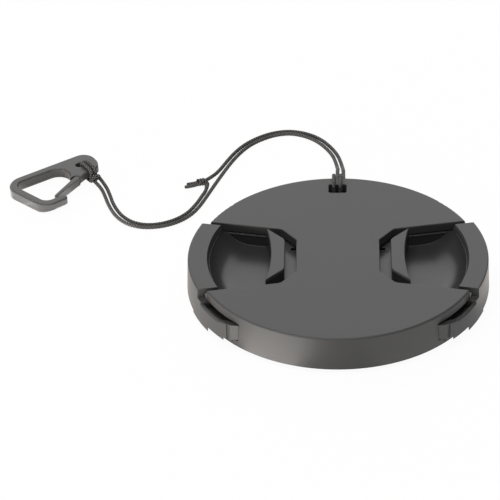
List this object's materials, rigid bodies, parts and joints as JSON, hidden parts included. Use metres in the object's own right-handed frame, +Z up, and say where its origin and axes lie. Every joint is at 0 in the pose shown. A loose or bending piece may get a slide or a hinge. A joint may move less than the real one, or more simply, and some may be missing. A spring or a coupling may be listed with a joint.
{
  "type": "camera lens cap",
  "caption": "Round centre-pinch lens cap with scooped finger levers that push spring-loaded jaws into a filter thread, tied by a thin cord leash to a small snap clip.",
  "frame": {"origin": "centre of the cap, on the table that it lies on face up", "axes": "+Z up through the face, +X through the two pinch levers, +Y to the edge where the cord is tied"},
  "size_m": [0.1217, 0.1084, 0.0112],
  "materials": {
    "cap_plastic": "fine-grained black moulding with a grey sheen",
    "inner_plastic": "plain black moulding",
    "clip_plastic": "satin dark grey moulding",
    "cord": "round braided cord",
    "spring_wire": "drawn wire"
  },
  "bodies": {
    "cap": {"cap_body": "cap_plastic", "back_plate": "inner_plastic", "spring_left": "spring_wire", "spring_right": "spring_wire", "cord_long": "cord", "cord_upper": "cord", "cord_lower": "cord", "cap_hitch": "cord", "clip_hitch": "cord", "loop_knot": "cord", "clip_frame": "clip_plastic"},
    "left_lever": {"lever_left": "cap_plastic"},
    "right_lever": {"lever_right": "cap_plastic"},
    "gate": {"clip_gate": "clip_plastic"}
  },
  "joints": [
    {"name": "left_pinch", "type": "slide", "parent": "cap", "child": "left_lever", "axis": [1, 0, 0], "range_m": [0, 0.002], "stiffness_N_per_m": 800, "springref_m": -0.003, "deforming": ["spring_left"]},
    {"name": "right_pinch", "type": "slide", "parent": "cap", "child": "right_lever", "axis": [-1, 0, 0], "range_m": [0, 0.002], "stiffness_N_per_m": 800, "springref_m": -0.003, "deforming": ["spring_right"]},
    {"name": "gate_hinge", "type": "hinge", "parent": "cap", "child": "gate", "pos_m": [-0.06731, 0.04569, 0.00103], "axis": [0.0538, 0.0323, -0.998], "range_deg": [0, 25], "stiffness_Nm_per_rad": 0.05, "springref_deg": -5.73}
  ]
}
